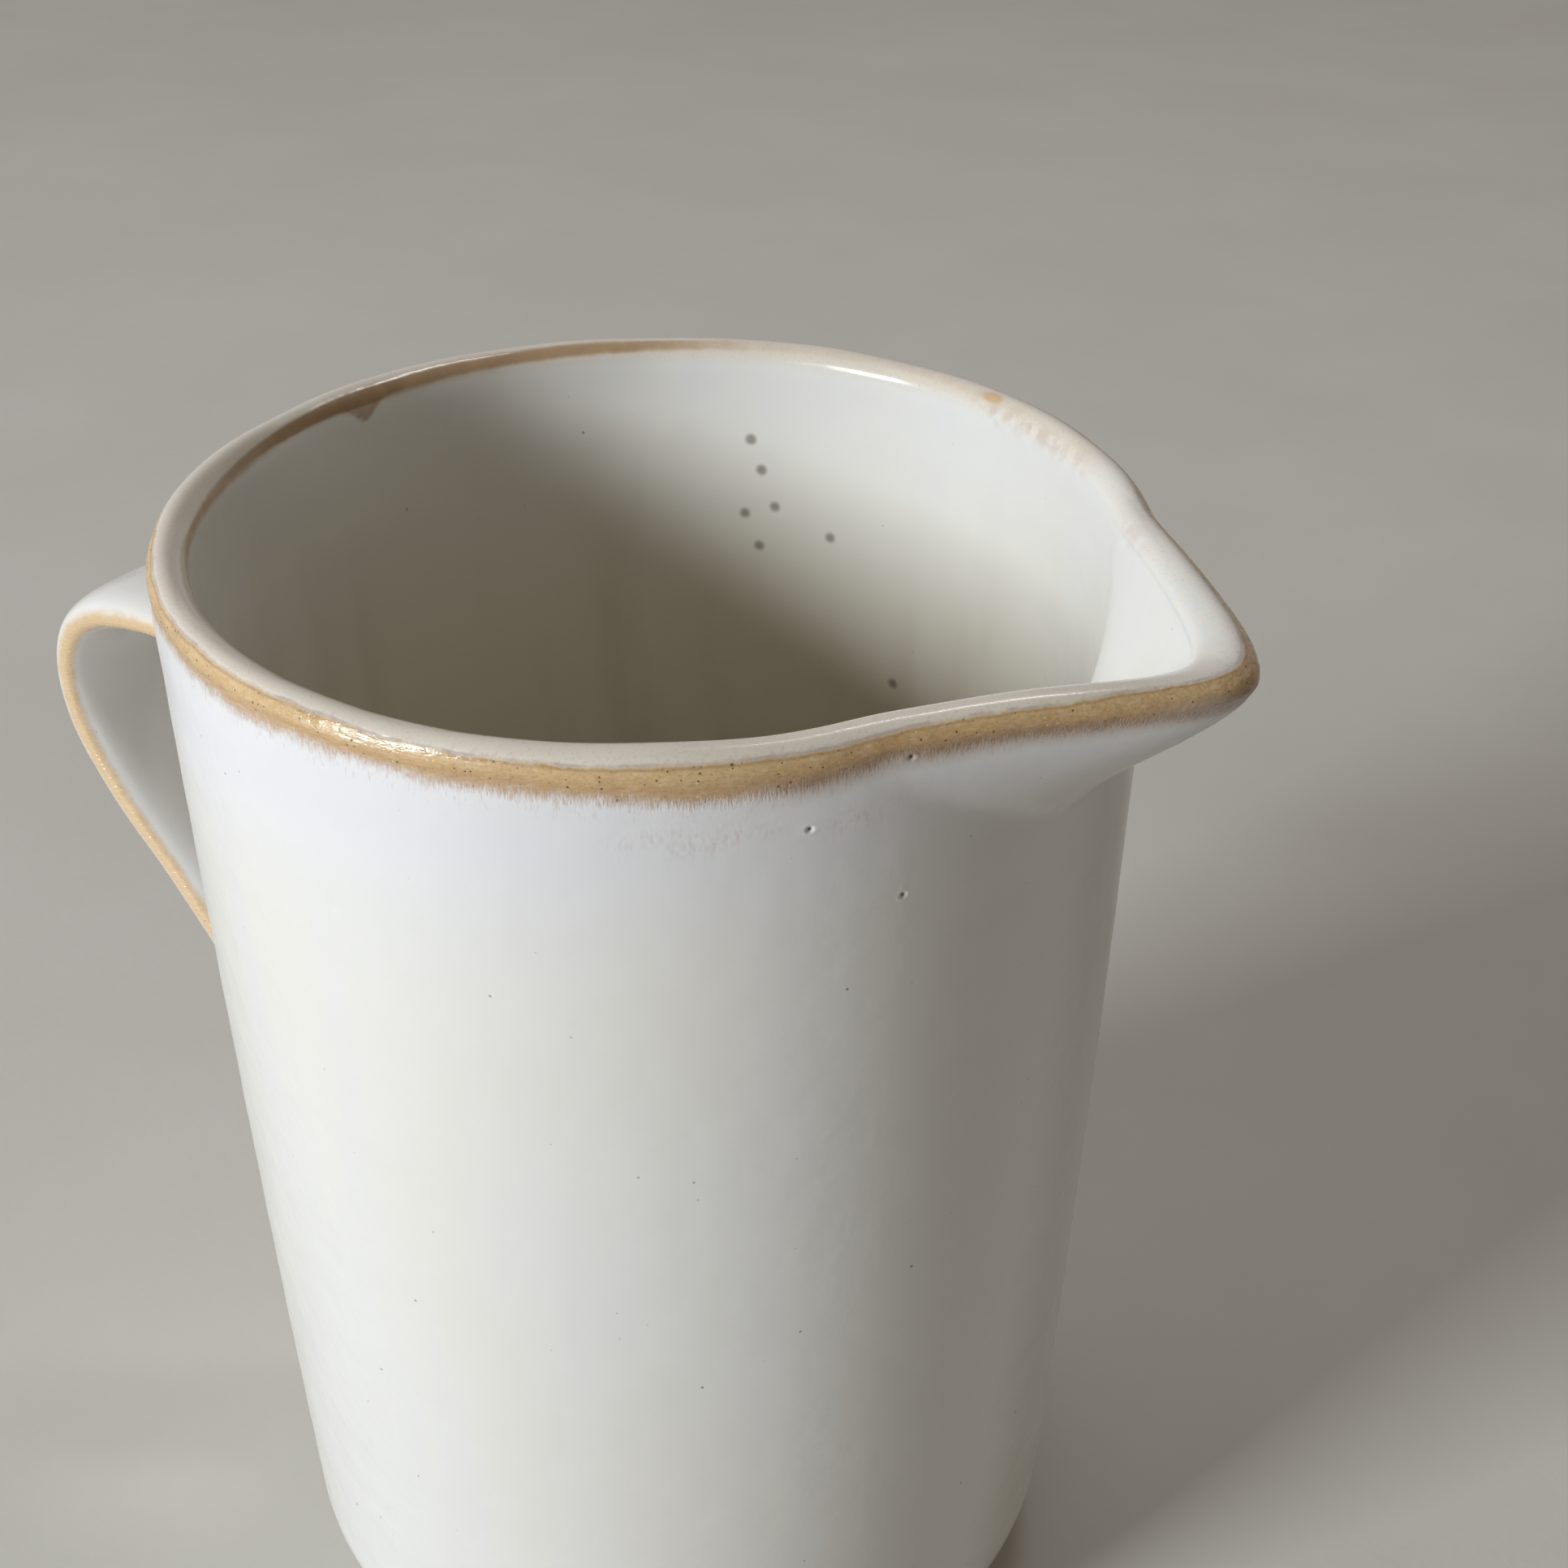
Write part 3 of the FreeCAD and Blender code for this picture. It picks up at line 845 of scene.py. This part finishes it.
def add_tan_band(tree, colour):
    """The tan band on the lip's outside, with its fine top line and feathered lower edge."""
    under = tree.value("under_top")
    over = tree.value("over_low")
    below_line = tree.math("ADD", under, tree.scaled(tree.noise(2.2, 3.0), -0.26, 0.26))
    streaks = tree.noise(0.19, 3.0, 4.5, 0.65)
    ragged = tree.math("ADD", over, tree.scaled(streaks, -1.0, 1.0))
    ragged = tree.math("ADD", ragged, tree.scaled(tree.noise(2.6, 3.0), -0.9, 0.9))
    band = tree.math("MULTIPLY", tree.step(below_line, -0.15, 0.35), tree.step(ragged, -1.0, 0.8))
    # Painted shade: umber laid below the tan band beside the spout, as strongly as the dark value says.
    painted_spout_shade = tree.math("MULTIPLY", tree.step(over, -2.4, 0.6), tree.step(below_line, 0.2, 1.2))
    painted_spout_shade = tree.math("MULTIPLY", painted_spout_shade, tree.math("MULTIPLY", tree.value("dark"), 0.75))
    colour = tree.mix(painted_spout_shade, colour, UMBER)
    colour = tree.mix(band, colour, tan_colour(tree, over))

    broken = tree.step(tree.noise(2.6, 3.0), 0.38, 0.62)
    grey_line = tree.step(tree.math("ABSOLUTE", below_line), 0.26, 0.0)
    colour = tree.mix(tree.math("MULTIPLY", grey_line, tree.scaled(broken, 0.10, 0.65)), colour, BORDER)
    brown_line = tree.step(tree.math("ABSOLUTE", tree.math("SUBTRACT", below_line, 0.38)), 0.24, 0.0)
    colour = tree.lay(colour, TAN_DARK, brown_line, 0.38)
    haze = tree.math("MULTIPLY", tree.step(below_line, -1.3, -0.1), tree.step(below_line, 0.3, -0.1))
    haze = tree.math("MULTIPLY", haze, tree.step(tree.noise(0.45, 3.0), 0.50, 0.72))
    colour = tree.lay(colour, ROSE, haze, 0.35)

    fringe = tree.math("MULTIPLY", tree.step(over, -2.8, -0.3), tree.step(over, 1.0, -0.2))
    hairs = tree.math("MULTIPLY", fringe, tree.step(tree.noise(0.26, 2.0, 4.0), 0.54, 0.72))
    colour = tree.lay(colour, ROSE, hairs, 0.55)
    blush = tree.math("MULTIPLY", tree.value("blush"), tree.step(tree.noise(0.35, 3.0, 2.4, 0.6), 0.42, 0.72))
    blush = tree.math("MULTIPLY", blush, tree.step(tree.noise(5.0, 2.0), 0.35, 0.6))
    return band, tree.lay(colour, ROSE, blush, 0.40)


def add_inner_band(tree, colour):
    """The brown line just inside the lip, the pinkish traces near the spout, and a painted bluish reflection
    there.
    """
    uneven = tree.math("ADD", tree.value("inner_band"), tree.scaled(tree.noise(1.8, 4.0), -0.20, 0.20))
    share = tree.math("MULTIPLY", tree.step(uneven, 0.12, 0.85), 0.9)
    brown = tree.mix(tree.value("inner_strength"), TAN_LIGHT, UMBER)
    brown = tree.lay(brown, TAN, tree.step(tree.noise(2.4, 3.0), 0.35, 0.7), 0.45)
    colour = tree.mix(share, colour, brown)
    orange = tree.step(tree.value("orange"), 0.2, 0.7)
    colour = tree.lay(colour, HANDLE_EDGE, orange, 0.85)
    rose = tree.math("MULTIPLY", tree.value("rose"), tree.step(tree.noise(1.8, 4.0), 0.36, 0.64))
    colour = tree.lay(colour, ROSE, rose, 0.5)
    # Painted reflection: a bluish tint laid on the inner lip beside the spout.
    painted_blue_reflection = tree.math("MULTIPLY", tree.value("painted_blue_reflection"), tree.step(tree.noise(1.6, 3.0), 0.38, 0.66))
    return tree.lay(colour, BLUISH, painted_blue_reflection, 0.45)


def glaze_surface(tree, band, gloss_low, gloss_high):
    """Roughness and surface unevenness shared by the glazes."""
    rough = tree.scaled(tree.noise(9.0, 3.0), gloss_low, gloss_high)
    patchy = tree.step(tree.noise(1.5, 3.0, 0.4), 0.40, 0.62)
    change = tree.math("MULTIPLY", band, tree.scaled(patchy, 0.9, -0.5))
    rough = tree.math("MULTIPLY", rough, tree.math("ADD", 1.0, change))
    swell = tree.bump(tree.noise(5.5, 2.0), 0.16, 0.55)
    peel = tree.bump(tree.noise(0.8, 2.0), 0.018, 0.5, swell)
    ridges = tree.math("MULTIPLY", tree.noise(1.1, 3.0, 0.3), band)
    return rough, tree.bump(ridges, 0.14, 0.8, peel)


def outside_glaze(name):
    """Material of the outer and rim coats."""
    tree = Tree(name)
    band, colour = add_tan_band(tree, add_lip_cream(tree, cream_colour(tree)))
    colour = add_inner_band(tree, colour)
    dark = [(degrees, z) for degrees, z, radius, _ in PINHOLES if radius < DARK_PIT_BELOW]
    holes = [point_on_wall(degrees, z, PIT_DEPTH) for degrees, z in dark]
    colour = tree.lay(colour, SPECK, tree.spots(holes, PIT_RADIUS), 0.92)
    rough, normal = glaze_surface(tree, band, 0.16, 0.30)
    return tree.finish(colour, rough, normal, **GLASSY)


def inside_glaze(name):
    """Material of the liner coat."""
    tree = Tree(name)
    _, colour = add_tan_band(tree, add_lip_cream(tree, cream_colour(tree)))
    # Painted shade: the liner turns darker and more olive (LINER_SHADE) deeper inside the vessel.
    depth = tree.step(tree.value("drop"), -3.0, -42.0)
    colour = tree.lay(colour, LINER_SHADE, depth, 0.85)
    runs = tree.math("MULTIPLY", tree.step(tree.noise(9.0, 2.0, 5.0), 0.45, 0.75), depth)
    colour = tree.lay(colour, UMBER, runs, 0.16)
    colour = add_inner_band(tree, colour)
    depth_of_spots = LIP_THICKNESS + LINER_SPOT_DEPTH
    marks = [point_on_wall(degrees, z, depth_of_spots) for degrees, z in LINER_SPOTS]
    colour = tree.lay(colour, SPECK, tree.spots(marks, LINER_SPOT_RADIUS), 0.62)
    rough, normal = glaze_surface(tree, 0.0, 0.14, 0.26)
    return tree.finish(colour, rough, normal, **GLASSY)


def handle_glaze(name):
    """White glaze that breaks to orange along the strap's edges."""
    tree = Tree(name)
    colour = cream_colour(tree)
    ragged = tree.math("ADD", tree.value("edge"), tree.scaled(tree.noise(2.2, 4.0), -0.20, 0.20))
    edge = tree.step(ragged, 0.22, 0.95)
    tan = tree.mix(tree.step(tree.noise(1.4, 3.0), 0.35, 0.7), HANDLE_EDGE, TAN_LIGHT)
    tan = tree.lay(tan, SPECK, tree.specks(1.1, 0.16, 0.3), 0.7)
    colour = tree.lay(colour, tan, edge, 0.88)
    rough, normal = glaze_surface(tree, edge, 0.16, 0.30)
    return tree.finish(colour, rough, normal, **GLASSY)


def bare_clay(name):
    """Unglazed stoneware: warm beige with grog, iron specks and a dry rough surface."""
    tree = Tree(name)
    colour = tree.mix(tree.step(tree.noise(6.0, 4.0), 0.3, 0.7), CLAY_DARK, CLAY)
    colour = tree.lay(colour, UMBER, tree.specks(1.4, 0.2, 0.4), 0.7)
    colour = tree.lay(colour, GROG, tree.specks(1.0, 0.2, 0.3), 0.5)
    normal = tree.bump(tree.noise(0.5, 4.0, 1.0, 0.65), 0.12, 0.8)
    return tree.finish(colour, tree.scaled(tree.noise(2.0), 0.75, 0.95), normal)


def floor_plaster(name):
    """Plain pale floor with faint cloudy marks."""
    tree = Tree(name)
    clouds = tree.step(tree.noise(90.0, 5.0, 1.0, 0.6), 0.3, 0.75)
    colour = tree.mix(clouds, FLOOR_DARK, FLOOR_PALE)
    normal = tree.bump(tree.noise(2.5, 4.0, 1.0, 0.6), 0.10, 0.4)
    return tree.finish(colour, 0.6, normal)


def add_floor():
    """A large plain floor at the foot's height."""
    mesh = bpy.data.meshes.new("floor")
    half = FLOOR_HALF_SIZE
    corners = [(-half, -half, 0.0), (half, -half, 0.0), (half, half, 0.0), (-half, half, 0.0)]
    mesh.from_pydata(corners, [], [(0, 1, 2, 3)])
    mesh.materials.append(floor_plaster("floor_plaster"))
    floor = bpy.data.objects.new("floor", mesh)
    bpy.context.scene.collection.objects.link(floor)


def add_area_light(name, azimuth, elevation, distance, size, power, colour):
    """A soft rectangular light aimed at the upper body, placed by direction from the pitcher."""
    light = bpy.data.lights.new(name, "AREA")
    light.shape = "RECTANGLE"
    light.size, light.size_y = size
    light.energy = power
    light.color = colour
    lamp = bpy.data.objects.new(name, light)
    a, e = math.radians(azimuth), math.radians(elevation)
    away = Vector((math.cos(a) * math.cos(e), math.sin(a) * math.cos(e), math.sin(e)))
    lamp.location = LIGHT_AIM + away * distance
    lamp.rotation_mode = "QUATERNION"
    lamp.rotation_quaternion = away.to_track_quat("Z", "Y")
    lamp.visible_camera = False
    bpy.context.scene.collection.objects.link(lamp)


def add_world():
    """Dim warm light all round, more light off a pale wall behind, and a plain backdrop."""
    world = bpy.data.worlds.new("studio")
    bpy.context.scene.world = world
    world.use_nodes = True
    nodes, links = world.node_tree.nodes, world.node_tree.links
    back = nodes["Background"]
    direction = nodes.new("ShaderNodeTexCoord").outputs["Generated"]
    toward = nodes.new("ShaderNodeVectorMath")
    toward.operation = "DOT_PRODUCT"
    links.new(direction, toward.inputs[0])
    heading = math.radians(WALL_AZIMUTH)
    toward.inputs[1].default_value = (math.cos(heading), math.sin(heading), 0.0)
    share = nodes.new("ShaderNodeMapRange")
    share.interpolation_type = "SMOOTHSTEP"
    links.new(toward.outputs["Value"], share.inputs["Value"])
    share.inputs["From Min"].default_value = 0.0
    share.inputs["From Max"].default_value = WALL_EDGE
    blend = nodes.new("ShaderNodeMix")
    blend.data_type = "RGBA"
    links.new(share.outputs["Result"], blend.inputs[0])
    blend.inputs[6].default_value = ROOM_COLOUR
    blend.inputs[7].default_value = WALL_COLOUR
    seen = nodes.new("ShaderNodeMix")
    seen.data_type = "RGBA"
    links.new(nodes.new("ShaderNodeLightPath").outputs["Is Camera Ray"], seen.inputs[0])
    links.new(blend.outputs[2], seen.inputs[6])
    seen.inputs[7].default_value = BACKDROP_COLOUR
    links.new(seen.outputs[2], back.inputs["Color"])


def add_camera():
    """The camera, above the rim and on the right of the spout."""
    camera = bpy.data.cameras.new("camera")
    camera.lens = CAMERA_LENS
    camera.sensor_width = CAMERA_SENSOR
    camera.clip_start = CAMERA_NEAREST
    viewer = bpy.data.objects.new("camera", camera)
    heading, pitch, roll = (math.radians(angle) for angle in CAMERA_TURN)
    level = math.cos(pitch)
    forward = Vector((math.cos(heading) * level, math.sin(heading) * level, -math.sin(pitch)))
    right = Vector((math.sin(heading), -math.cos(heading), 0.0))
    up = right.cross(forward)
    rolled_right = right * math.cos(roll) + up * math.sin(roll)
    rolled_up = up * math.cos(roll) - right * math.sin(roll)
    matrix = Matrix((rolled_right, rolled_up, -forward)).transposed().to_4x4()
    matrix.translation = Vector(CAMERA_PLACE) * MM
    viewer.matrix_world = matrix
    bpy.context.scene.collection.objects.link(viewer)
    bpy.context.scene.camera = viewer


def build():
    """Everything that is shown."""
    bpy.context.scene.view_settings.view_transform = "Standard"
    grid = vessel_grid()
    outside = outside_glaze("white_and_tan_glaze")
    band_edge = wall_place(HEIGHT - RIM_BAND_DEPTH)
    coat_piece("outer_glaze_coat", "outer_glaze", "white_glaze", outside, grid, GLAZE_START, band_edge)
    rim = outside_glaze("rim_glaze")
    coat_piece("rim_glaze_coat", "rim_glaze", "tan_glaze", rim, grid, band_edge, LIP_CREST)
    liner = inside_glaze("liner_glaze")
    coat_piece("liner_glaze_coat", "liner_glaze", "liner_glaze", liner, grid, LIP_CREST, FLOOR_CENTRE)
    handle_piece(handle_glaze("handle_glaze"))
    clay = bare_clay("bare_clay")
    for node in ("vessel_clay", "handle_strap", "upper_joint_slip", "lower_joint_slip"):
        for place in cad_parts[node].material_slots:
            place.material = clay
    add_floor()
    add_area_light("window", *WINDOW_LIGHT)
    add_area_light("high_softbox", *HIGH_LIGHT)
    add_world()
    add_camera()


build()
